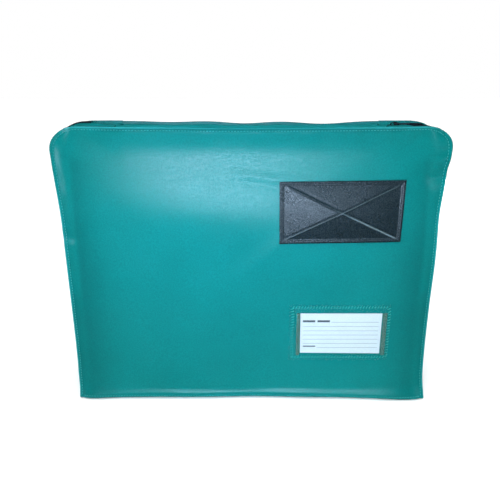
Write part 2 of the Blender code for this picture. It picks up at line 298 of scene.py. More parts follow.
def front_out(x, z):
    x, z = np.asarray(x, float), np.asarray(z, float)
    out = np.full(np.broadcast(x, z).shape, FRONT)
    # The swollen foot, and the belly, which the label pocket holds flat at the lower right.
    out = out + (0.0062 - 0.0030 * gauss((x - 0.004) / 0.030)) * np.exp(-np.maximum(z, 0) / 0.022)
    centre = -0.046 + 0.90 * np.clip(0.262 - z, 0, 0.085)
    belly = 0.0062 * gauss((x - centre) / 0.105) * gauss((z - 0.160) / 0.066)
    pocket = smooth(-0.010, 0.045, x) * (1 - smooth(0.110, 0.165, z))
    out = out + belly * (1 - pocket)
    # The face leans back towards the top seam, and hangs over a little under the seam's middle.
    corners = 1 - between(-0.168, -0.122, 0.135, 0.172, x)
    out = out - lean(z, 0.215, 0.2745 + 0.021 * corners, 0.10, 0.010, 0.006 - 0.004 * corners)
    out = out + (1 - corners) * lean(z, 0.2822, 0.320, 0.155, 0.005, 0.005)
    out = out - seam_pull(x, z)
    out = out + foot_swell(x, z, -1, 0.026, 0.0066, 0.022) + foot_swell(x, z, 1, 0.042, 0.0094, 0.022)
    # A narrow bead along the rolled foot.
    along = between(-0.178, -0.120, 0.120, 0.180, x)
    bead = gauss((z - 0.0062 - 0.0006 * np.sin(x / 0.021)) / 0.0028)
    out = out + (0.0011 + 0.0008 * gauss((x - 0.02) / 0.07)) * along * bead
    out = out + puckers(x, z, 0.00014)
    return out + sum(ridge(x, z, *fold) for fold in FRONT_FOLDS)


def back_out(x, z):
    x, z = np.asarray(x, float), np.asarray(z, float)
    out = np.full(np.broadcast(x, z).shape, BACK - 0.0025)
    out = out + 0.0030 * np.exp(-np.maximum(z, 0) / 0.040)
    out = out + 0.0050 * gauss((x - 0.02) / 0.12) * gauss((z - 0.150) / 0.080)
    out = out - lean(z, 0.205, 0.2825, 0.08, 0.010, 0.0022)
    out = out - seam_pull(x, z)
    out = out + foot_swell(x, z, -1, 0.040, 0.0065, 0.024) + foot_swell(x, z, 1, 0.040, 0.0075, 0.024)
    out = out + puckers(x, z, 0.00022)
    return out + sum(ridge(x, z, *fold) for fold in BACK_FOLDS)


def top_wave(x, rear):
    """How far the top edge dips between the places where it is held up."""
    if rear:
        dips = ((-0.006, 0.020, 0.0026), (0.077, 0.024, 0.0030), (-0.085, 0.020, 0.0012))
    else:
        dips = ((-0.020, 0.045, 0.0010), (0.070, 0.035, 0.0006))
    return -sum(depth * gauss((x - at) / width) for at, width, depth in dips)


def side_shift(x, z):
    """How far the left and right outlines stray from straight."""
    top = 0.0018 + 0.0056 * smooth(0.200, 0.285, z)
    right = top + 0.0002 + 0.0068 * gauss((z - 0.300) / 0.013) - 0.0012 * gauss((z - 0.215) / 0.022)
    right = right + 0.0010 * (1 - smooth(0.0, 0.03, z))
    left = top + 0.0003 + 0.0026 * gauss((z - 0.297) / 0.011) - 0.0013 * (1 - smooth(0.0, 0.032, z))
    share = np.clip(np.abs(x) / W, 0, 1.1) ** 8
    return np.where(x > 0, right * share, -left * share)


def place(x, z, out, rear):
    """The point in space for a place on the bag's outline, with the outline's own unevenness."""
    lift = top_wave(x, rear) * smooth(0.245, 0.290, z)
    y = out if rear else -out
    x = np.asarray(x, float)
    return np.stack([x + side_shift(x, z), y, z + lift], axis=-1)


def roll_radius(x):
    share = np.clip(np.abs(x) / W, 0, 1)
    return CORNER_ROLL + (FOOT_ROLL - CORNER_ROLL) * (1 - share**4)


def skin_out(x, z, out_of, inset=0.0):
    """Distance out to a panel's skin, its rolled foot included, or to a surface inset inside it."""
    r = roll_radius(x)
    reach = np.sqrt(np.maximum((r - inset) ** 2 - np.maximum(r - z, 0) ** 2, 0))
    return np.where(z < r, out_of(x, r) - r + reach, out_of(x, z) - inset)


def half_width(z):
    above = np.clip(z - (H - CORNER), 0, CORNER)
    return W - CORNER + np.sqrt(np.maximum(CORNER**2 - above**2, 0))


def panel_points(out_of, rear):
    """The outer face of a panel as a grid: foot rolled under, face, and round top corners."""
    half = 1 - edge_steps(W, 0.0006, 0.0026) / W
    u = np.concatenate([-half, half[::-1][1:]])
    from_top = edge_steps(H - FOOT_ROLL, 0.0006, 0.0026)[::-1]
    rows = []
    x = u * W
    r = roll_radius(x)
    for angle in np.linspace(0, math.pi / 2, 10)[:-1]:
        out = out_of(x, r) - r + r * math.sin(angle)
        rows.append(place(x, r - r * math.cos(angle), out, rear))
    for share in 1 - from_top / (H - FOOT_ROLL):
        x = u * half_width(FOOT_ROLL + (H - FOOT_ROLL) * share)
        r = roll_radius(x)
        z = r + (H - r) * share
        rows.append(place(x, z, out_of(x, z), rear))
    return np.array(rows)


def build_panel(name, out_of, rear, materials, node):
    """A panel's skin, with painted shade towards its sides and seams and painted highlight on its rim and
    foot.
    """
    points = panel_points(out_of, rear)
    x, z = points[..., 0], points[..., 2]
    inside = side_distance(x, z)
    # Painted shade: the skin is darkened towards its sides, lower down and in a band under the middle of the
    # top seam, and kept lighter as a painted highlight in a strip just inside the sides and near the top
    # corners.
    seam = np.clip(inside, 0, 0.06) - 0.012 * (1 - smooth(0.150, 0.230, z)) + 0.05 * smooth(0.262, 0.285, z)
    seam = seam - 0.12 * smooth(0.288, 0.300, z) * (1 - smooth(0.135, 0.172, np.abs(x)))
    turned = (1 - smooth(0.008, 0.016, inside)) * (1 - smooth(0.262, 0.275, z))
    seam = seam + 0.05 * turned * (0.4 + 0.6 * smooth(0.10, 0.16, z))
    # Painted highlight: the colour is paled along the rim, where light catches the edge, and along the rolled
    # foot, lit from the floor.
    rim = gauss(edge_distance(x - side_shift(x, z), z) / 0.0009)
    rim_and_foot_highlight = np.maximum(0.75 * rim, 0.35 * gauss((z - 0.0012) / 0.0016))
    shades = {"painted_seam_shade": seam, "painted_highlight": rim_and_foot_highlight}
    made = sheet(name, points, SKIN, materials, (0, 1 if rear else -1, 0), attributes=shades)
    stand_for(made, node)


# The gusset band: one path up each side, round the corner and along the top.


def gusset_sag(y, z, side):
    """How far a side gusset stands out: a soft fold runs inwards low down, and it swells near the top."""
    span = gauss(y / 0.019)
    fold = -0.0050 * gauss((y - 0.002) / 0.0075) * (1 - smooth(0.17, 0.235, z)) * smooth(0.0, 0.05, z)
    swell = (0.0085 if side > 0 else 0.0075) * smooth(0.19, 0.26, z) * span
    ripple = 0.0009 * np.sin(z / 0.017 + side) * span + 0.0006 * np.sin(z / 0.0095 + y / 0.012)
    return fold + swell + 0.0012 * span + ripple * smooth(0.0, 0.03, z)


def cap_crown(x, y, side):
    """Height of the top band over its seams at the closed ends."""
    height, at = (0.0040, 0.166) if side < 0 else (0.0010, 0.172)
    return height * gauss((np.abs(x) - at) / 0.013) * gauss(y / 0.016)


def strip_level(x, y):
    """Height of the top band's vinyl between its seam and the zip: it sags between the two."""
    reach = np.abs(x)
    t = np.clip((np.abs(y) - SLOT_Y) / (0.031 - SLOT_Y), 0, 1)
    slack = 0.0022 * (1 - smooth(0.105, 0.150, reach)) + 0.0002
    ripple = 0.0006 * np.sin(x / 0.0130 + np.sign(y)) + 0.0004 * np.sin(x / 0.0061 + y / 0.004)
    level = TOP_LEVEL + (-slack + ripple * (1 - smooth(0.12, 0.16, reach))) * np.sin(math.pi * t)
    lip = 0.0014 * gauss((np.abs(y) - SLOT_Y) / 0.0040) * (np.asarray(y) < 0)
    return level + lip * (1 - smooth(ZIP_END_X - 0.004, ZIP_END_X + 0.004, reach))


def band_path(side, upper):
    """Path of the gusset band as (x, z, normal x, normal z): the side gusset, or the closed top end."""
    low_x = W - BAND_INSET
    if not upper:
        middle = np.arange(0.0326, CAP_FOOT - 0.002, 0.0026)
        levels = np.concatenate([edge_steps(0.03, 0.0008, 0.0026), middle, [CAP_FOOT - 0.0004]])
        return [(side * low_x, z, side, 0.0) for z in levels]
    centre_x, centre_z = low_x - BAND_CORNER, TOP_LEVEL - BAND_CORNER
    path = [(side * low_x, z, side, 0.0) for z in np.linspace(CAP_FOOT - CAP_LAP, centre_z, 12)[:-1]]
    for a in np.linspace(0, math.pi / 2, 18):
        c, s = math.cos(a), math.sin(a)
        path.append((side * (centre_x + BAND_CORNER * c), centre_z + BAND_CORNER * s, side * c, s))
    for x in np.linspace(centre_x, MOUTH_X - 0.0012, 20)[1:]:
        path.append((side * x, TOP_LEVEL, 0.0, 1.0))
    return path


BAND_LIPS = (LIP, 0.0020, 0.0010, 0.0004)
BAND_COLUMNS = 29


def band_points(side, upper):
    """Outer face of a side gusset or a closed top end, with lips that turn out along the two panels."""
    rows = []
    middle = BAND_COLUMNS // 2
    for px, pz, nx, nz in band_path(side, upper):

        def edge(outwards, out_of, rear, drop=0.0):
            x, z = px + nx * outwards, pz + nz * outwards
            depth = float(skin_out(x, z, out_of, SKIN + CLEAR)) - drop
            return place(x, z, depth, rear), depth

        row = [edge(lip, front_out, False)[0] for lip in BAND_LIPS]
        base_front, y_front = edge(0.0, front_out, False, 0.0003)
        base_back, y_back = edge(0.0, back_out, True, 0.0003)
        across = np.linspace(-1, 1, BAND_COLUMNS)
        ys = np.where(across < 0, across * y_front, across * y_back)
        if upper:
            # The zip's slot falls exactly on columns.
            ys[:middle - 1] = np.linspace(-y_front, -SLOT_Y, middle - 1)
            ys[middle - 1:middle + 2] = (-SLOT_Y / 2, 0.0, SLOT_Y / 2)
            ys[middle + 2:] = np.linspace(SLOT_Y, y_back, middle - 1)
        for t, y in zip(across, ys):
            side_sag = gusset_sag(y, pz, side) * (1 - t**8)
            top_sag = float(strip_level(px, y) - TOP_LEVEL) if abs(y) >= SLOT_Y - 1e-6 else 0.0
            top_sag = top_sag + cap_crown(px, y, side) * (1 - t**4)
            sag = side_sag * (1 - nz) + top_sag * nz
            level = 0.5 * (base_front[2] + base_back[2]) + 0.5 * t * (base_back[2] - base_front[2])
            x = 0.5 * (base_front[0] + base_back[0])
            row.append(np.array([x + nx * sag, y, level + nz * sag]))
        row += [edge(lip, back_out, True)[0] for lip in reversed(BAND_LIPS)]
        rows.append(row)
    return np.array(rows)


def build_side_gusset(word, side, materials):
    made = sheet(word + "_gusset_skin", band_points(side, False), SKIN, materials, (side, 0, 0))
    stand_for(made, word + "_gusset")


def build_top_end(word, side, materials):
    """A closed end of the top. Its foot laps over the side gusset, and the zip's slot is left open."""
    points = band_points(side, True)
    lips = len(BAND_LIPS)
    lap = np.concatenate([np.ones(12), [0.9, 0.7, 0.4, 0.1]])[:, None]
    points[:len(lap), lips:-lips, 0] += side * (SKIN + CLEAR) * lap
    middle = (points[:-1, :-1] + points[1:, 1:]) / 2
    in_slot = (np.abs(middle[..., 0]) < ZIP_END_X) & (np.abs(middle[..., 1]) < SLOT_Y)
    keep = ~(in_slot & (points[:-1, :-1, 2] > TOP_LEVEL - 0.004))
    made = sheet("top_end_" + word + "_skin", points, SKIN, materials, (side, 0, 1), keep=keep)
    stand_for(made, "top_end_" + word)


def build_bottom(materials):
    """The base: its long edges lie lapped over the two rolled feet, and it rests on the ground between."""
    reach = W - 0.0048
    share = both_ends(1.0, 0.010, 0.05)
    rows = []
    for x in both_ends(2 * reach, 0.0012, 0.0040) - reach:
        front = float(skin_out(x, 0.0, front_out)) + 0.0015
        back = float(skin_out(x, 0.0, back_out)) + 0.0015
        ys = -front + (front + back) * share
        inside = np.minimum(ys + front, back - ys)
        z = (SKIN + CLEAR) * (1 - smooth(0.0030, 0.0075, inside))
        z = z + 0.0002 + 0.0004 * gauss((reach - abs(x)) / 0.004)
        shifted = x + float(side_shift(np.array(x), 0.0))
        rows.append(np.stack([np.full_like(ys, shifted), ys, z], axis=-1))
    made = sheet("bottom_gusset_skin", rows, SKIN, materials, (0, 0, -1))
    stand_for(made, "bottom_gusset")


def half_name(stem, word, direction):
    return f"{stem}_{word}_{'right' if direction > 0 else 'left'}"


def open_with_mouth(made, node):
    """The mouth opens as a lens, but nothing here moves it: the model's piece is hidden, and this half is
    left on no body, with its placing baked into its points.
    """
    stand_for(made, node, body=None)
    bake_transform(made)


def build_mouth_strip(word, rear, direction, materials):
    """Half of one opening strip, from the bag's middle out to a fixed end. Its edge is turned in at the
    zip, and its seam allowance hangs down at the seam, so that the open mouth shows no slit there."""
    out_of = back_out if rear else front_out
    sign = 1 if rear else -1
    under_end = MOUTH_X + np.array([-0.0026, -0.0022, -0.0018, -0.0013, 0.0, 0.0022])
    rows = []
    for x in np.append(np.linspace(0, MOUTH_X - 0.0030, 59), under_end) * direction:
        lift = float(top_wave(x, rear))
        under_cap = float(smooth(MOUTH_X - 0.0026, MOUTH_X - 0.0013, abs(x))) * (SKIN + 0.0003)
        seam = float(skin_out(x, TOP_LEVEL, out_of, SKIN + CLEAR)) - 0.0012
        ys = np.linspace(seam, SLOT_Y, 22)
        z = strip_level(x, sign * ys) + lift * smooth(SLOT_Y + 0.004, seam, ys) - under_cap
        near = np.abs(ys - SLOT_Y)
        z = z + 0.00025 * gauss((near - 0.0012) / 0.0008) - 0.00030 * gauss((near - 0.0030) / 0.0006)
        row = [(x, sign * (seam + 0.0001), z[0] - drop) for drop in (0.0032, 0.0021, 0.0010)]
        row += [(x, sign * y, h) for y, h in zip(ys, z)]
        row += [(x, sign * (SLOT_Y - 0.0002), z[-1] - 0.0004), (x, sign * (SLOT_Y - 0.0001), z[-1] - 0.0008)]
        rows.append(row)
    made = sheet(half_name("mouth_strip", word, direction), rows, SKIN * 0.9, materials, (0, 0, 1))
    open_with_mouth(made, "mouth_strip_" + word)


def build_top_lip(word, rear, materials):
    """The seam allowance that stands up behind a panel's top edge, where the top band is sewn to it."""
    out_of = back_out if rear else front_out
    inwards = -1 if rear else 1
    rows = []
    for x in np.linspace(-MOUTH_X - 0.002, MOUTH_X + 0.002, 150):
        row = []
        for up in (0.0021, 0.0014, 0.0007, 0.0, -0.0012, -0.0024, -0.0036):
            z = TOP_LEVEL + up
            depth = float(skin_out(x, z, out_of, SKIN + CLEAR * 0.5))
            row.append(place(x, z, depth, rear))
        bottom = row[-1]
        row += [bottom + (0, inwards * 0.0009, -0.0003), bottom + (0, inwards * 0.0020, -0.0004)]
        rows.append(row)
    made = sheet(f"top_seam_lip_{word}", rows, SKIN * 0.8, materials, (0, inwards, 0.3))
    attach(made, "bag")


# The zip.


def tape_level(x, ys, sign):
    """The tape's top: level at the zip, then just under the vinyl strip."""
    under = strip_level(x, sign * ys) - SKIN - 0.0002
    dip = np.where(sign > 0, top_wave(x, True), top_wave(x, False)) * smooth(SLOT_Y, 0.012, ys)
    under = under + np.minimum(dip, 0)
    share = smooth(SLOT_Y - 0.0030, SLOT_Y, ys)
    return tape_high.z * (1 - share) + np.minimum(under, tape_high.z + 0.0002) * share


def build_tape(word, rear, direction, materials):
    sign = 1 if rear else -1
    ys = np.linspace(-coil_low.y, -tape_low.y, 12)
    rows = []
    along = np.append(np.linspace(0, MOUTH_X - 0.0006, 47), [MOUTH_X - 0.0002, MOUTH_X + 0.0012])
    for x in along * direction:
        z = tape_level(x, ys, sign) - 0.0008 * (abs(x) > MOUTH_X - 0.0003)
        rows.append(np.stack([np.full_like(ys, x), sign * ys, z], axis=-1))
    made = sheet(half_name("zip_tape", word, direction), rows, CLOTH, materials, (0, 0, 1))
    open_with_mouth(made, "zip_tape_" + word)


def tube(path, radius, sides):
    """Vertices and faces of a closed-end tube along a path."""
    path = np.asarray(path, float)
    tangent = np.gradient(path, axis=0)
    tangent /= np.linalg.norm(tangent, axis=1, keepdims=True)
    up = np.array([0.0, 0.0, 1.0])
    if abs(tangent[0] @ up) > 0.9:
        up = np.array([1.0, 0.0, 0.0])
    verts = []
    normal = up
    for p, t in zip(path, tangent):
        normal = normal - t * (normal @ t)
        normal /= np.linalg.norm(normal)
        across = np.cross(t, normal)
        for k in range(sides):
            a = 2 * math.pi * k / sides
            verts.append(p + radius * (math.cos(a) * normal + math.sin(a) * across))
    return verts, ring_faces(0, len(path), sides)


COIL_PITCH = 0.0015
COIL_WIRE = 0.00033


def coil_mesh(x_start, x_end, sign):
    """One side of the zip as a continuous spiral of nylon wire, its loops reaching just past the middle."""
    turns = abs(x_end - x_start) / COIL_PITCH
    t = np.linspace(0, turns, max(int(turns * 9), 9))
    angle = 2 * math.pi * t + (0.0 if sign > 0 else math.pi)
    x = x_start + (x_end - x_start) * t / turns
    y = sign * (0.0014 - 0.0016 * np.cos(angle))
    z = COIL_Z + 0.00062 * np.sin(angle)
    return tube(np.stack([x, y, z], axis=-1), COIL_WIRE, 5)


def build_coil(word, rear, direction, materials):
    verts, faces = coil_mesh(0.0, direction * MOUTH_X, 1 if rear else -1)
    made = mesh_object(half_name("zip_coil", word, direction), verts, faces, materials)
    open_with_mouth(made, "zip_coil_" + word)


def build_coil_end(word, side, materials):
    ends = side * (MOUTH_X + 0.0004), side * (ZIP_END_X - 0.0006)
    verts, faces = join([coil_mesh(*ends, sign) for sign in (-1, 1)])
    made = mesh_object(f"zip_coil_end_{word}_loops", verts, faces, materials)
    stand_for(made, "zip_coil_end_" + word)


def build_tape_end(word, side, materials):
    """The tape beside the zip's closed end. Its tail goes on over the vinyl and down round the corner."""
    xs = side * np.linspace(MOUTH_X + 0.0004, ZIP_END_X + 0.0050, 16)
    ys = np.linspace(tape_low.y, -tape_low.y, 33)
    sign = np.where(ys > 0, 1, -1)
    rows = [np.stack([np.full_like(ys, x), ys, tape_level(x, np.abs(ys), sign)], axis=-1) for x in xs]
    points = np.array(rows)
    mid_y = (points[:-1, :-1, 1] + points[:-1, 1:, 1]) / 2
    mid_x = np.abs(points[:-1, :-1, 0] + points[1:, :-1, 0]) / 2
    keep = ~((np.abs(mid_y) < 0.0026) & (mid_x < ZIP_END_X))
    made = sheet(f"zip_tape_end_{word}_cloth", points, CLOTH, materials, (0, 0, 1), keep=keep)
    stand_for(made, "zip_tape_end_" + word)


def build_tape_tail(word, side, materials):
    """The zip's tail, sewn down over the top band's end and the round corner, and flat under the puller."""
    line = band_points(side, True)[:, len(BAND_LIPS) + BAND_COLUMNS // 2]
    on_zip = (np.abs(line[:, 0]) < ZIP_END_X + 0.0012) & (line[:, 2] > TOP_LEVEL - 0.002)
    line = line[~(on_zip | (line[:, 2] < CAP_FOOT + 0.004))]
    tangent = np.gradient(line, axis=0)
    tangent /= np.linalg.norm(tangent, axis=1, keepdims=True)
    normal = np.stack([-tangent[:, 2], np.zeros(len(line)), tangent[:, 0]], axis=-1)
    normal *= np.sign((normal @ np.array([side, 0, 1.0])))[:, None]
    ys = np.linspace(-0.0062, 0.0062, 9)
    across = np.stack([np.zeros_like(ys), ys, np.zeros_like(ys)], axis=-1)
    rows = []
    for p, n in zip(line, normal):
        clear_of_puller = smooth(puller_high.x, puller_high.x + 0.005, p[0]) if side > 0 else 1.0
        up = 0.0006 + 0.00045 * gauss(ys / 0.0016) * clear_of_puller
        rows.append(p + n * up[:, None] + across)
    made = sheet(f"zip_tape_tail_{word}", rows, CLOTH, materials, (side, 0, 1))
    stand_for(made, "zip_tape_end_" + word)


def prism(outline, low, high, bevel, cuts=()):
    """A flat plate with that outline, rounded edges and holes, between two heights."""
    data = bpy.data.curves.new("outline", "CURVE")
    data.dimensions = "2D"
    data.fill_mode = "BOTH"
    for ring in (outline, *cuts):
        spline = data.splines.new("POLY")
        spline.points.add(len(ring) - 1)
        for knot, (x, y) in zip(spline.points, ring):
            knot.co = (x, y, 0, 1)
        spline.use_cyclic_u = True
    data.extrude = (high - low) / 2 - bevel
    data.bevel_depth = bevel
    data.bevel_resolution = 2
    data.offset = -bevel
    holder = link("outline", data)
    bpy.context.view_layer.update()
    mesh = bpy.data.meshes.new_from_object(holder.evaluated_get(bpy.context.evaluated_depsgraph_get()))
    bpy.data.objects.remove(holder)
    bpy.data.curves.remove(data)
    verts = [np.array(v.co) + (0, 0, (low + high) / 2) for v in mesh.vertices]
    faces = [tuple(p.vertices) for p in mesh.polygons]
    bpy.data.meshes.remove(mesh)
    return verts, faces


def rounded(low, high, radius, steps=5):
    """Outline of a rectangle with round corners."""
    (x0, y0), (x1, y1) = low, high
    left, right, low, high = x0 + radius, x1 - radius, y0 + radius, y1 - radius
    centres = ((right, high), (left, high), (left, low), (right, low))
    ring = []
    for quarter, (ox, oy) in enumerate(centres):
        for k in range(steps + 1):
            a = math.pi / 2 * (quarter + k / steps)
            ring.append((ox + radius * math.cos(a), oy + radius * math.sin(a)))
    return ring


def metal_piece(name, parts, x, node, body, materials):
    """Joins parts that are drawn from x = 0 into one metal piece at its place along the zip."""
    verts, faces = join(parts)
    made = mesh_object(name, [np.array(v) + (x, 0, 0) for v in verts], faces, materials, sharp=40)
    stand_for(made, node, body)


def build_slider(materials):
    """Two plates joined by a wedge, with side flanges, and a bail on rivets for the puller."""
    half = (slider_high.x - slider_low.x) / 2
    wide = (slider_high.y - slider_low.y) / 2
    low, top, plate, bail_x = 0.2934, 0.2974, 0.0012, 0.0041
    base = top + plate
    nose = [(-half, wide * 0.62), (-half * 0.75, wide * 0.86), (-half * 0.2, wide * 0.90)]
    tail = [(half * 0.35, wide), (half * 0.75, wide), (half * 0.96, wide * 0.84), (half, wide * 0.55)]
    outline = nose + tail + [(half * 0.86, 0.0)] + [(x, -y) for x, y in reversed(nose + tail)]
    wedge = [(0.0010, -0.0007), (half * 0.8, -0.0007), (half * 0.8, 0.0007), (0.0010, 0.0007)]
    parts = [
        prism(outline, top, base, 0.0003),
        prism(outline, low, low + plate, 0.0003),
        prism(wedge, low + 0.0006, top + 0.0006, 0.0001),
    ]
    for sign in (-1, 1):
        lip = [(-half * 0.7, sign * wide * 0.80), (half * 0.75, sign * wide * 0.90)]
        lip += [(half * 0.75, sign * wide * 0.99), (-half * 0.7, sign * wide * 0.88)]
        parts.append(prism(lip[::-sign], top - 0.0007, top + 0.0004, 0.0001))
    arch = []
    for a in np.linspace(0, math.pi, 15):
        arch.append((-bail_x * math.cos(a), 0.0, base - 0.0004 + 0.0031 * math.sin(a) ** 0.75))
    parts.append(tube(arch, 0.00062, 8))
    for sign in (-1, 1):
        turns = np.linspace(0, 2 * math.pi, 13)[:-1]
        rivet = [(sign * bail_x + 0.0011 * math.cos(a), 0.0011 * math.sin(a)) for a in turns]
        parts.append(prism(rivet, base - 0.0002, base + 0.0005, 0.0002))
    middle = (slider_low.x + slider_high.x) / 2
    metal_piece("zip_slider_body", parts, middle, "zip_slider", "slider", materials)


def build_puller(materials):
    """The pull tab lies on the tape: a loop round the bail, a waist, and a ribbed grip with a slot."""
    wide = (puller_high.y - puller_low.y) / 2
    low, high = puller_low.z, puller_high.z
    length = puller_high.x - puller_low.x
    side = [(0.0, wide * 0.66), (0.0008, wide * 0.86), (0.0052, wide * 0.88), (0.0072, wide * 0.62)]
    side += [(0.0090, wide * 0.60), (0.0115, wide * 0.92)]
    side += [(length * 0.80, wide), (length * 0.93, wide * 0.90), (length * 0.99, wide * 0.55)]
    outline = [(x, -y) for x, y in side] + [(length, 0.0)] + [(x, y) for x, y in reversed(side)]
    loop = rounded((0.0013, -0.0015), (0.0056, 0.0015), 0.0010)
    slot = rounded((length - 0.0132, -0.0013), (length - 0.0036, 0.0013), 0.0012)
    parts = [prism(outline, low, high, 0.00028, cuts=(loop, slot))]
    for k in range(4):
        at = length - 0.0122 + k * 0.0026
        for y in (-0.0023, 0.0023):
            rib = rounded((at, y - 0.0006), (at + 0.0011, y + 0.0006), 0.0004, 3)
            parts.append(prism(rib, high - 0.0002, high + 0.00018, 0.0001))
    metal_piece("zip_puller_tab", parts, puller_low.x, "zip_puller", "puller", materials)


def build_stop(word, side, materials):
    """A metal staple crimped over the zip's last loops."""
    x0, x1 = sorted((side * stop_low.x, side * stop_high.x))
    axis_z = 0.2963
    arch = [(0.0036 * math.cos(a), 0.00165 * math.sin(a)) for a in np.linspace(-0.35, math.pi + 0.35, 19)]
    rows = []
    for x, shrink in ((x0, 0.93), (x0 + 0.0002, 1.0), ((x0 + x1) / 2, 1.02), (x1 - 0.0002, 1.0), (x1, 0.93)):
        rows.append([(x, y * shrink, axis_z + up * shrink) for y, up in arch])
    made = sheet(f"zip_stop_{word}_staple", rows, CLOTH, materials, (0, 0, 1))
    stand_for(made, "zip_stop_" + word)


# Stitches.

# One stitch, as rings at shares of its length, with their size and how far they drop, in thread radii.
STITCH_RINGS = (
    (-0.5, 0.30, -1.0),
    (-0.40, 0.80, -0.25),
    (-0.15, 1.0, 0.0),
    (0.15, 1.0, 0.0),
    (0.40, 0.80, -0.25),
    (0.5, 0.30, -1.0),
)
STITCH_SIDES = 6
STITCH_SINK = 0.35


def stitch_row(points, normals, pitch, length, radius, turn=0.0):
    """Separate stitches along a line on a surface, each an arched thread that dives in at both ends."""
    step = np.linalg.norm(np.diff(points, axis=0), axis=1)
    along = np.concatenate([[0], np.cumsum(step)])
    count = int(along[-1] / pitch)

    def sample(at, values):
        return np.array([np.interp(at, along, values[:, i]) for i in range(3)])

    verts, faces = [], []
    for k in range(count):
        at = (k + 0.5) * along[-1] / count
        p = sample(at, points)
        n = sample(at, normals)
        n /= np.linalg.norm(n)
        t = sample(at + 1e-4, points) - p
        t -= n * (t @ n)
        t /= max(np.linalg.norm(t), 1e-12)
        b = np.cross(n, t)
        t, b = t * math.cos(turn) + b * math.sin(turn), b * math.cos(turn) - t * math.sin(turn)
        faces += ring_faces(len(verts), len(STITCH_RINGS), STITCH_SIDES)
        for share, size, drop in STITCH_RINGS:
            centre = p + t * (share * length) + n * (radius * (STITCH_SINK + drop))
            for s in range(STITCH_SIDES):
                a = 2 * math.pi * s / STITCH_SIDES
                verts.append(centre + radius * size * (math.cos(a) * b + math.sin(a) * n))
    return verts, faces


def thread_piece(name, rows, node, materials):
    verts, faces = join(rows)
    stand_for(mesh_object(name, verts, faces, materials), node)


def seam_line(inset, foot):
    """The stitch line on a panel: a loop a little inside its edge."""
    reach, top, radius = W - inset, H - inset, CORNER - inset
    turn = np.linspace(0, math.pi / 2, 14)
    straight = np.full(60, reach)
    along = np.linspace(reach - radius, 0, 50)[1:]
    x = np.concatenate([straight, reach - radius + radius * np.cos(turn), along])
    rise = np.linspace(foot, top - radius, 61)[:-1]
    z = np.concatenate([rise, top - radius + radius * np.sin(turn), np.full(49, top)])
    return np.concatenate([x, -x[::-1][1:]]), np.concatenate([z, z[::-1][1:]])


def build_seam_stitches(name, out_of, rear, node, materials):
    """One row round the sides and the top, and one along the foot."""

    def skin(x, z):
        return place(x, z, skin_out(x, z, out_of), rear)

    foot_z = 0.0045
    foot_x = np.linspace(-(W - foot_z), W - foot_z, 160)
    rows = []
    for x, z in (seam_line(STITCH_INSET, foot_z), (foot_x, np.full_like(foot_x, foot_z))):
        points, normals = with_normals(skin, x, z, 2e-4)
        rows.append(stitch_row(points, -normals if rear else normals, 0.0030, 0.0023, 0.00032))
    thread_piece(name, rows, node, materials)


# What is sewn on the front.

PATCH_WIDE = patch_high.x - patch_low.x
PATCH_TALL = patch_high.z - patch_low.z
PATCH_TOP = 0.0013
FALLING_FOLD = ((0.0370, 0.2430), (0.1470, 0.1900))
RISING_FOLD = ((0.0380, 0.1910), (0.1520, 0.2450))


def patch_place(u, v):
    """A place on the patch, whose corners aren't quite square. u and v run from 0 to 1."""
    low_left = (patch_low.x + 0.0002, patch_low.z - 0.0004)
    low_right = (patch_high.x - 0.0006, patch_low.z + 0.0004)
    top_left = (patch_low.x - 0.0004, patch_high.z)
    top_right = (patch_high.x + 0.0014, patch_high.z + 0.0012)
    corners = zip(low_left, low_right, top_left, top_right)
    return [a * (1 - u) * (1 - v) + b * u * (1 - v) + c * (1 - u) * v + d * u * v for a, b, c, d in corners]


def line_distance(x, z, line):
    (ax, az), (bx, bz) = line
    dx, dz = bx - ax, bz - az
    return ((x - ax) * dz - (z - az) * dx) / math.hypot(dx, dz)


def patch_relief(x, z, inset):
    """Height of the patch's face: a hem, a shallow pyramid inside it, and two raised folds that cross."""
    x0, x1, z0, z1 = patch_low.x + 0.0050, patch_high.x - 0.0050, patch_low.z + 0.0045, patch_high.z - 0.0045
    u = np.clip(np.abs(x - (x0 + x1) / 2) / ((x1 - x0) / 2), 0, 1)
    v = np.clip(np.abs(z - (z0 + z1) / 2) / ((z1 - z0) / 2), 0, 1)
    relief = 0.0029 * (1 - np.maximum(u, v)) * smooth(0.0038, 0.0060, inset)
    falling, rising = line_distance(x, z, FALLING_FOLD), line_distance(x, z, RISING_FOLD)
    folds = 0.00055 * gauss(falling / 0.0007) - 0.00055 * gauss((falling + 0.0013) / 0.0006)
    folds = folds + 0.00040 * gauss(rising / 0.0006) - 0.00045 * gauss((rising + 0.0011) / 0.0005)
    hem = 0.0005 * (1 - smooth(0.0036, 0.0044, inset)) - 0.0003 * gauss((inset - 0.0030) / 0.0005)
    return relief + smooth(0.0035, 0.0075, inset) * folds + hem - 0.0004 * gauss(inset / 0.0006)


def patch_surface(u, v):
    x, z = patch_place(u, v)
    inset = np.minimum.reduce([u * PATCH_WIDE, (1 - u) * PATCH_WIDE, v * PATCH_TALL, (1 - v) * PATCH_TALL])
    out = front_out(x, z) + PATCH_TOP + patch_relief(x, z, inset)
    return np.stack([x, -out, z], axis=-1)


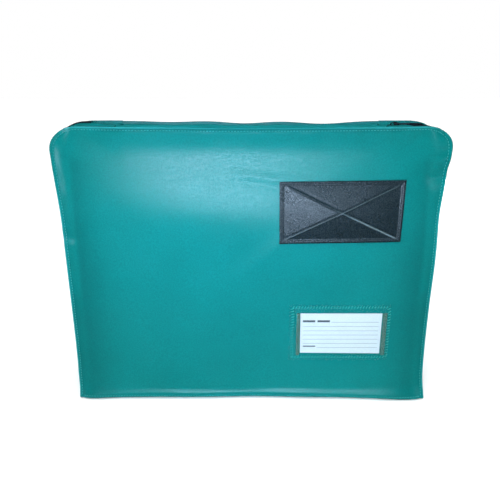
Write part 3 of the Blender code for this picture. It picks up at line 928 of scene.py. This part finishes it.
def build_patch(materials):
    """The patch. A painted highlight pales the crest of the right half of one fold and, less, all of the
    other.
    """
    u = both_ends(PATCH_WIDE, 0.0004, 0.0005) / PATCH_WIDE
    v = both_ends(PATCH_TALL, 0.0004, 0.0005) / PATCH_TALL
    u, v = np.meshgrid(u, v)
    x, z = patch_place(u, v)
    # Painted highlight: the fold crests are paled where light catches them.
    falling = smooth(0.075, 0.115, x) * gauss((line_distance(x, z, FALLING_FOLD) - 0.0001) / 0.00045)
    rising = 0.40 * gauss(line_distance(x, z, RISING_FOLD) / 0.00025)
    shades = {"painted_highlight": between(0.033, 0.040, 0.144, 0.151, x) * (falling + rising)}
    made = sheet("front_patch_skin", patch_surface(u, v), SKIN, materials, (0, -1, 0), attributes=shades)
    stand_for(made, "front_patch")


def build_patch_stitches(materials):
    iu, iv = 0.0030 / PATCH_WIDE, 0.0030 / PATCH_TALL
    corners = [(iu, iv), (1 - iu, iv), (1 - iu, 1 - iv), (iu, 1 - iv), (iu, iv)]
    rows = []
    for (u0, v0), (u1, v1) in zip(corners, corners[1:]):
        u, v = np.linspace(u0, u1, 60), np.linspace(v0, v1, 60)
        rows.append(stitch_row(*with_normals(patch_surface, u, v, 0.002), 0.0032, 0.0024, 0.00030))
    thread_piece("patch_stitches", rows, "patch_thread", materials)


FILM = 0.0005
CARD_GAP = 0.0008
CARD_THICK = 0.0004


def label_out(z):
    """The label pocket's base follows the bag's face, the same all along, so that the card can slide."""
    z = np.asarray(z, float)
    spots = np.linspace(window_low.x, window_high.x, 9)
    return np.max([front_out(np.full_like(z, s), z) for s in spots], axis=0) + 0.0002


def film_points(x, z):
    """The film's face: sewn down at three sides, and raised over the card and at the open right side."""
    sewn = np.minimum.reduce([x - window_low.x, z - window_low.z, window_high.z - z])
    inset = np.minimum(sewn, window_high.x - x)
    rise = smooth(0.0045, 0.0080, sewn)
    out = label_out(z) * rise + np.maximum(front_out(x, z), label_out(z) - 0.0004) * (1 - rise)
    out = out + (CARD_GAP + CARD_THICK + 0.0002) * rise + FILM + 0.0001
    out = out - 0.00015 * gauss((inset - 0.0035) / 0.0012) + 0.00012 * np.sin(x / 0.009 + z / 0.013) * rise
    return np.stack([x, -out, z], axis=-1)


def build_window(materials):
    x = window_low.x + both_ends(window_high.x - window_low.x, 0.0006, 0.0016)
    z = window_low.z + both_ends(window_high.z - window_low.z, 0.0006, 0.0016)
    made = sheet("label_window_film", film_points(*np.meshgrid(x, z)), FILM, materials, (0, -1, 0))
    stand_for(made, "label_window")


def build_window_hems(materials):
    """The film is turned back on itself beside the card, on the left and at the open right side."""
    for word, x_low, x_high in (("left", 0.0496, 0.0533), ("right", 0.1424, 0.1470)):
        levels = np.linspace(card_low.z - 0.001, card_high.z + 0.001, 30)
        x, z = np.meshgrid(np.linspace(x_low, x_high, 8), levels)
        points = film_points(x, z)
        points[..., 1] -= 0.0003 + 0.0003 * np.sin(math.pi * (x - x_low) / (x_high - x_low))
        made = sheet(f"label_window_hem_{word}", points, 0.0003, materials, (0, -1, 0))
        stand_for(made, "label_window")


def build_window_stitches(materials):
    """Slanting stitches in four rows round the film."""
    inset, slant = 0.0030, 2.0
    x0, x1 = window_low.x + inset, window_high.x - inset
    z0, z1 = window_low.z + inset, window_high.z - inset
    rows = []
    for xa, za, xb, zb, turn in (
        (x0, z1, x1, z1, -slant),
        (x0, z0 + 0.0010, x1, z0 + 0.0010, -slant),
        (x0 + 0.0008, z0, x0 + 0.0008, z1, slant),
        (x1 + 0.0012, z0, x1 + 0.0012, z1, slant),
    ):
        line = with_normals(film_points, np.linspace(xa, xb, 50), np.linspace(za, zb, 50), 2e-4)
        rows.append(stitch_row(*line, 0.0031, 0.0034, 0.00045, turn))
    thread_piece("window_stitches", rows, "window_thread", materials)


def build_card(materials):
    """The card, with its low left corner pushed in a little."""
    x = np.linspace(card_low.x, card_high.x, 45)
    z = np.linspace(card_low.z, card_high.z, 25)
    x, z = np.meshgrid(x, z)
    out = label_out(z) + CARD_GAP + CARD_THICK / 2
    corner = (card_high.x - x) / (card_high.x - card_low.x) * (card_high.z - z) / (card_high.z - card_low.z)
    points = np.stack([x + 0.0007 * corner, -out, z + 0.0009 * corner], axis=-1)
    made = sheet("insert_card_paper", points, CARD_THICK * 0.8, materials, (0, -1, 0))
    stand_for(made, "insert_card", "card")


# Materials.


class Recipe:
    """A node material in the making: nodes are added with their values or with the outputs that feed them."""

    def __init__(self, name):
        self.material = bpy.data.materials.new(name)
        self.material.use_nodes = True
        self.shader = self.material.node_tree.nodes["Principled BSDF"]

    def feed(self, socket, value):
        if isinstance(value, bpy.types.NodeSocket):
            self.material.node_tree.links.new(value, socket)
        elif value is not None:
            socket.default_value = value

    def add(self, kind, *values, **named):
        """Adds a node. Values in order and by name go to its inputs, apart from its own settings."""
        node = self.material.node_tree.nodes.new("ShaderNode" + kind)
        settings = [key for key in named if hasattr(node, key)]
        for key in settings:
            setattr(node, key, named.pop(key))
        for socket, value in zip(node.inputs, values):
            self.feed(socket, value)
        for key, value in named.items():
            self.feed(node.inputs[key.replace("_", " ")], value)
        return node

    def surface(self, **named):
        for key, value in named.items():
            self.feed(self.shader.inputs[key.replace("_", " ")], value)

    def noise(self, where, scale, detail, **more):
        return self.add("TexNoise", Vector=where, Scale=scale, Detail=detail, **more).outputs["Fac"]

    def spread(self, value, to_low, to_high, low=0.0, high=1.0, **more):
        """Stretches a value from the range low to high over the range to_low to to_high."""
        ends = {"From_Min": low, "From_Max": high, "To_Min": to_low, "To_Max": to_high}
        return self.add("MapRange", Value=value, **ends, **more).outputs["Result"]

    def tones(self, value, dark, light, low=0.0, high=1.0):
        ramp = self.add("ValToRGB", Fac=value)
        for stop, at, colour in zip(ramp.color_ramp.elements, (low, high), (dark, light)):
            stop.position = at
            stop.color = (*colour, 1)
        return ramp.outputs["Color"]

    def scaled(self, colour, factor):
        return self.add("VectorMath", colour, operation="SCALE", Scale=factor).outputs["Vector"]

    def covered(self, colour, cover, amount):
        mixed = self.add("Mix", data_type="RGBA", A=colour, B=(*cover, 1), Factor=amount)
        return mixed.outputs["Result"]

    def emboss(self, height, strength, depth):
        bump = self.add("Bump", Strength=strength, Distance=depth, Height=height)
        self.surface(Normal=bump.outputs["Normal"])

    def maths(self, operation, *values):
        return self.add("Math", *values, operation=operation).outputs["Value"]

    def where(self):
        return self.add("TexCoord").outputs["Object"]

    def attribute(self, name):
        return self.add("Attribute", attribute_name=name).outputs["Fac"]


def vinyl(name, dark, light, roughness, cell, depth, specular, seams=True, painted_highlight_colour=None, speckle=None):
    """Vinyl-coated fabric with an embossed leather grain, uneven in tone, with painted shade at its seams and
    painted highlight where a mask lays it on.
    cell is the grain's size, and speckle the size of the specks that its gloss and tone break up into."""
    recipe = Recipe(name)
    where = recipe.where()
    colour = recipe.tones(recipe.noise(where, 14.0, 4.0, Roughness=0.55), dark, light, 0.30, 0.72)

    warp = recipe.add("TexNoise", Vector=where, Scale=0.45 / cell, Detail=2.0).outputs["Color"]
    warped = recipe.add("VectorMath", warp, (cell * 0.9,) * 3, where, operation="MULTIPLY_ADD")
    warped = warped.outputs["Vector"]
    cells = recipe.add("TexVoronoi", feature="DISTANCE_TO_EDGE", Vector=warped, Scale=1.0 / cell)
    valley = recipe.spread(cells.outputs["Distance"], 0.0, 1.0, high=0.28)
    grain = recipe.maths("MULTIPLY_ADD", recipe.noise(where, 2.4 / cell, 3.0), 0.35, valley)
    recipe.emboss(grain, 1.0, depth)

    recipe.surface(Specular_IOR_Level=specular)
    if speckle:
        dots = recipe.noise(where, 1.0 / speckle, 2.0)
        colour = recipe.scaled(colour, recipe.spread(dots, 0.90, 1.10, 0.35, 0.65))
        glitter = 0.38
        gloss = recipe.spread(dots, (1 - glitter) * specular, min(1.0, (1 + glitter) * specular), 0.42, 0.62)
        recipe.surface(Specular_IOR_Level=gloss)
    if seams:
        # Painted shade from the panel's mask: the colour is darkened towards the seams.
        near = recipe.attribute("painted_seam_shade")
        shade = recipe.spread(near, 0.72, 1.0, -0.020, 0.060, interpolation_type="SMOOTHERSTEP")
        colour = recipe.scaled(colour, shade)
    # Painted highlight: a given pale colour is laid over the skin where its mask asks for it.
    if painted_highlight_colour:
        colour = recipe.covered(colour, painted_highlight_colour, recipe.attribute("painted_highlight"))
    rubbed = recipe.spread(recipe.noise(where, 38.0, 5.0), roughness - 0.015, roughness + 0.020, 0.3, 0.7)
    recipe.surface(Base_Color=colour, Roughness=rubbed)
    return recipe.material


def woven(name, dark, light, pitch, depth):
    """A close woven tape or a twisted thread: fine bars across, each a little lighter on its crown."""
    recipe = Recipe(name)
    where = recipe.where()
    shape = {"Vector": where, "Scale": 1.0 / pitch / 3.1, "Distortion": 0.6, "Detail": 1.0}
    waves = [recipe.add("TexWave", bands_direction=way, **shape) for way in ("X", "Y")]
    both = recipe.maths("MULTIPLY", *[wave.outputs["Fac"] for wave in waves])
    recipe.emboss(both, 1.0, depth)
    recipe.surface(Base_Color=recipe.tones(both, dark, light), Roughness=0.8, Specular_IOR_Level=0.2)
    return recipe.material


def plain(name, dark, light, roughness, scale, metallic=0.0):
    """A smooth moulded or enamelled material with a fine uneven surface and slight changes of tone."""
    recipe = Recipe(name)
    noise = recipe.noise(recipe.where(), scale, 4.0)
    recipe.emboss(noise, 0.6, 0.00003)
    dull = recipe.spread(noise, roughness - 0.06, roughness + 0.06)
    colour = recipe.tones(noise, dark, light, 0.3, 0.7)
    recipe.surface(Base_Color=colour, Roughness=dull, Metallic=metallic, Specular_IOR_Level=0.3)
    return recipe.material


def clear_film(name, colour, low, high):
    """Clear film that is a little hazy, from low to high, and unevenly glossy."""
    recipe = Recipe(name)
    noise = recipe.noise(recipe.where(), 60.0, 3.0)
    recipe.surface(Alpha=recipe.spread(noise, low, high), Roughness=recipe.spread(noise, 0.10, 0.22))
    recipe.surface(Base_Color=(*colour, 1))
    return recipe.material


def printed_card():
    """A pale card with ruled lines and plain bars where the heading and the small print would be."""
    recipe = Recipe("printed card")
    where = recipe.where()
    split = recipe.add("SeparateXYZ", where)

    def band(value, low, high):
        soft = 0.00012
        rise = recipe.maths("DIVIDE", recipe.maths("SUBTRACT", value, low), soft)
        fall = recipe.maths("DIVIDE", recipe.maths("SUBTRACT", high, value), soft)
        both = recipe.maths("MINIMUM", rise, fall)
        return recipe.maths("MAXIMUM", recipe.maths("MINIMUM", both, 1.0), 0.0)

    def print_of(bars):
        """How much ink is at a place, for bars given as x from and to, and z from and to."""
        ink = None
        for x_low, x_high, z_low, z_high in bars:
            across, up = band(split.outputs["X"], x_low, x_high), band(split.outputs["Z"], z_low, z_high)
            one = recipe.maths("MULTIPLY", across, up)
            ink = one if ink is None else recipe.maths("MAXIMUM", ink, one)
        return ink

    first, pitch, half = 0.0939, 0.00512, 0.00030
    starts = (0.0875, 0.0570, 0.0570, 0.0570, 0.0570, 0.0570, 0.0725)
    levels = [first - pitch * k for k in range(len(starts))]
    lines = print_of([(start, 0.1388, z - half, z + half) for start, z in zip(starts, levels)])
    heading = [(0.0564, 0.0700, 0.0938, 0.0964), (0.0722, 0.0858, 0.0938, 0.0964)]
    words = print_of(heading + [(0.0574, 0.0712, 0.0641, 0.0657)])
    fibres = recipe.noise(where, 900.0, 4.0)
    paper = recipe.tones(fibres, (0.55, 0.655, 0.725), (0.60, 0.70, 0.77))
    ruled = recipe.covered(paper, (0.22, 0.29, 0.34), lines)
    inked = recipe.covered(ruled, (0.06, 0.08, 0.11), words)
    recipe.emboss(fibres, 0.3, 0.00002)
    recipe.surface(Base_Color=inked, Roughness=0.6, Specular_IOR_Level=0.3)
    return recipe.material


# The last colour given to the teal and the slate vinyl is a painted highlight colour.
TEAL = vinyl(
    "teal vinyl", (0.0012, 0.172, 0.168), (0.0018, 0.196, 0.193), 0.20, 0.0012, 0.000020, 0.25,
    painted_highlight_colour=(0.03, 0.38, 0.40), speckle=0.0013,
)
TEAL_BAND = vinyl(
    "teal vinyl band", (0.0030, 0.175, 0.178), (0.0040, 0.200, 0.205), 0.34, 0.0012, 0.000030, 0.25,
    seams=False,
)
LINING = vinyl(
    "teal vinyl backing", (0.006, 0.120, 0.125), (0.010, 0.140, 0.148), 0.70, 0.0009, 0.00008, 0.2,
    seams=False,
)
SLATE = vinyl(
    "slate vinyl", (0.0055, 0.0145, 0.0190), (0.0085, 0.0205, 0.0265), 0.27, 0.0013, 0.00005, 0.60,
    seams=False, painted_highlight_colour=(0.15, 0.22, 0.24), speckle=0.0010,
)
TAPE = woven("zip tape", (0.006, 0.012, 0.018), (0.016, 0.028, 0.038), 0.0006, 0.00012)
COIL = plain("nylon coil", (0.010, 0.016, 0.022), (0.016, 0.024, 0.032), 0.38, 400.0)
METAL = plain("dark enamelled metal", (0.020, 0.024, 0.030), (0.032, 0.036, 0.044), 0.34, 300.0, metallic=0.6)
THREAD = woven("teal thread", (0.020, 0.30, 0.29), (0.07, 0.46, 0.44), 0.0003, 0.00006)
PALE_THREAD = woven("pale teal thread", (0.015, 0.34, 0.31), (0.05, 0.50, 0.45), 0.0003, 0.00006)
DARK_THREAD = woven("slate thread", (0.020, 0.032, 0.040), (0.050, 0.066, 0.078), 0.0003, 0.00006)
FILM_MATERIAL = clear_film("clear film", (0.05, 0.30, 0.30), 0.02, 0.05)
HEM_FILM = clear_film("clear film hem", (0.11, 0.22, 0.18), 0.30, 0.45)
CARD = printed_card()

SKINS = [TEAL, LINING]
BANDS = [TEAL_BAND, LINING]
build_panel("front_skin", front_out, False, SKINS, "front_panel")
build_panel("back_skin", back_out, True, SKINS, "back_panel")
for word, side in (("left", -1), ("right", 1)):
    build_side_gusset(word, side, BANDS)
    build_top_end(word, side, BANDS)
    build_tape_end(word, side, [TAPE])
    build_tape_tail(word, side, [TAPE])
    build_coil_end(word, side, [COIL])
    build_stop(word, side, [METAL])
build_bottom(BANDS)
for word, rear in (("front", False), ("rear", True)):
    build_top_lip(word, rear, BANDS)
    for direction in (-1, 1):
        build_mouth_strip(word, rear, direction, BANDS)
        build_tape(word, rear, direction, [TAPE])
        build_coil(word, rear, direction, [COIL])
build_slider([METAL])
build_puller([METAL])
build_patch([SLATE])
build_patch_stitches([DARK_THREAD])
build_window([FILM_MATERIAL])
build_window_stitches([PALE_THREAD])
build_window_hems([HEM_FILM])
build_card([CARD])
build_seam_stitches("front_seam_stitches", front_out, False, "front_seam_thread", [THREAD])
build_seam_stitches("rear_seam_stitches", back_out, True, "rear_seam_thread", [THREAD])


# Floor, light and camera.


def glowing(name, colour, strength):
    recipe = Recipe(name)
    recipe.surface(Base_Color=(*colour, 1), Emission_Color=(1, 1, 1, 1), Emission_Strength=strength)
    recipe.surface(Specular_IOR_Level=0.0)
    return recipe


def build_stage():
    """A pale floor and a white backdrop that lights nothing."""
    mesh = bpy.data.meshes.new("floor")
    size = 6.0
    corners = [(-size, -size, 0), (size, -size, 0), (size, size, 0), (-size, size, 0)]
    mesh.from_pydata(corners, [], [(0, 1, 2, 3)])
    floor = link("floor", mesh)
    floor.location.z = -0.0004
    floor.visible_glossy = False
    pale = glowing("pale floor", (0.95, 0.95, 0.95), 0.15)
    pale.surface(Roughness=0.9)
    mesh.materials.append(pale.material)

    work = bmesh.new()
    bmesh.ops.create_icosphere(work, subdivisions=4, radius=8.0)
    mesh = bpy.data.meshes.new("backdrop")
    work.to_mesh(mesh)
    work.free()
    backdrop = link("backdrop", mesh)
    backdrop.visible_diffuse = backdrop.visible_glossy = False
    backdrop.visible_shadow = backdrop.visible_transmission = False
    mesh.materials.append(glowing("white backdrop", (0, 0, 0), 1.0).material)


def aim(lamp, location, target):
    lamp.rotation_euler = (Vector(target) - Vector(location)).to_track_quat("-Z", "Y").to_euler()


def area_light(name, location, target, size, power, colour):
    data = bpy.data.lights.new(name, "AREA")
    data.shape = "RECTANGLE"
    data.size, data.size_y = size
    data.energy = power
    data.color = colour
    lamp = link(name, data)
    lamp.location = location
    aim(lamp, location, target)
    return lamp


def build_light():
    """Soft overhead light, two beams that only light, softboxes that only show as sheen, and a rear light."""
    world = bpy.data.worlds.new("studio")
    world.use_nodes = True
    sky = world.node_tree.nodes["Background"]
    sky.inputs["Color"].default_value = (1, 0.98, 0.89, 1)
    sky.inputs["Strength"].default_value = 0.25
    world.cycles_visibility.glossy = False
    bpy.context.scene.world = world
    bpy.context.scene.view_settings.view_transform = "Standard"

    data = bpy.data.lights.new("overhead", "SUN")
    data.energy = 2.5
    data.angle = math.radians(50)
    lamp = link("overhead", data)
    aim(lamp, (-0.03, -0.27, 1.0), (0, 0, 0))
    lamp.visible_glossy = False
    for name, location, target, size, power, colour, beam in (
        ("key", (-0.18, -0.72, 0.44), (0, -0.04, 0.21), (0.4, 0.35), 0.56, (0.90, 0.99, 1.04), 52),
        ("cool", (-0.02, -0.50, 0.34), (-0.02, -0.04, 0.20), (0.25, 0.15), 0.14, (0.3, 0.62, 1.25), 54),
    ):
        lamp = area_light(name, location, target, size, power, colour)
        lamp.data.spread = math.radians(beam)
        lamp.visible_glossy = False

    # Kept below the top's level, so that the zip's metal doesn't glint in it from the front.
    area_light("rear_fill", (0.30, 1.30, 0.11), (0, 0, 0.13), (0.9, 0.3), 9.0, (0.93, 0.98, 1))

    sheen = (0.51, 0.67, 0.88)
    for name, location, target, size, power in (
        ("softbox_front", (-0.10, -1.5, 0.39), (0, 0, 0.24), (0.68, 0.34), 11.5),
        ("softbox_left", (-1.5, -0.7, 0.34), (-0.15, 0, 0.18), (0.5, 0.4), 4.9),
        ("softbox_right", (1.3, -1.0, 0.36), (0.18, 0, 0.24), (0.22, 0.22), 0.9),
        ("softbox_low", (-0.02, -1.4, 0.22), (0, 0, 0.01), (0.8, 0.16), 3.0),
    ):
        area_light(name, location, target, size, power, sheen).visible_diffuse = False


CAMERA_PITCH = math.radians(19)
CAMERA_AWAY = 0.516
CAMERA_ABOVE_TOP = 0.0538


def build_camera():
    data = bpy.data.cameras.new("camera")
    data.lens = 38.05
    data.sensor_width = 36.0
    data.clip_start = 0.01
    camera = link("camera", data)
    camera.location = (-0.0006, -FRONT - CAMERA_AWAY, H + CAMERA_ABOVE_TOP)
    camera.rotation_euler = (math.pi / 2 - CAMERA_PITCH, 0, 0)
    bpy.context.scene.camera = camera


build_stage()
build_light()
build_camera()
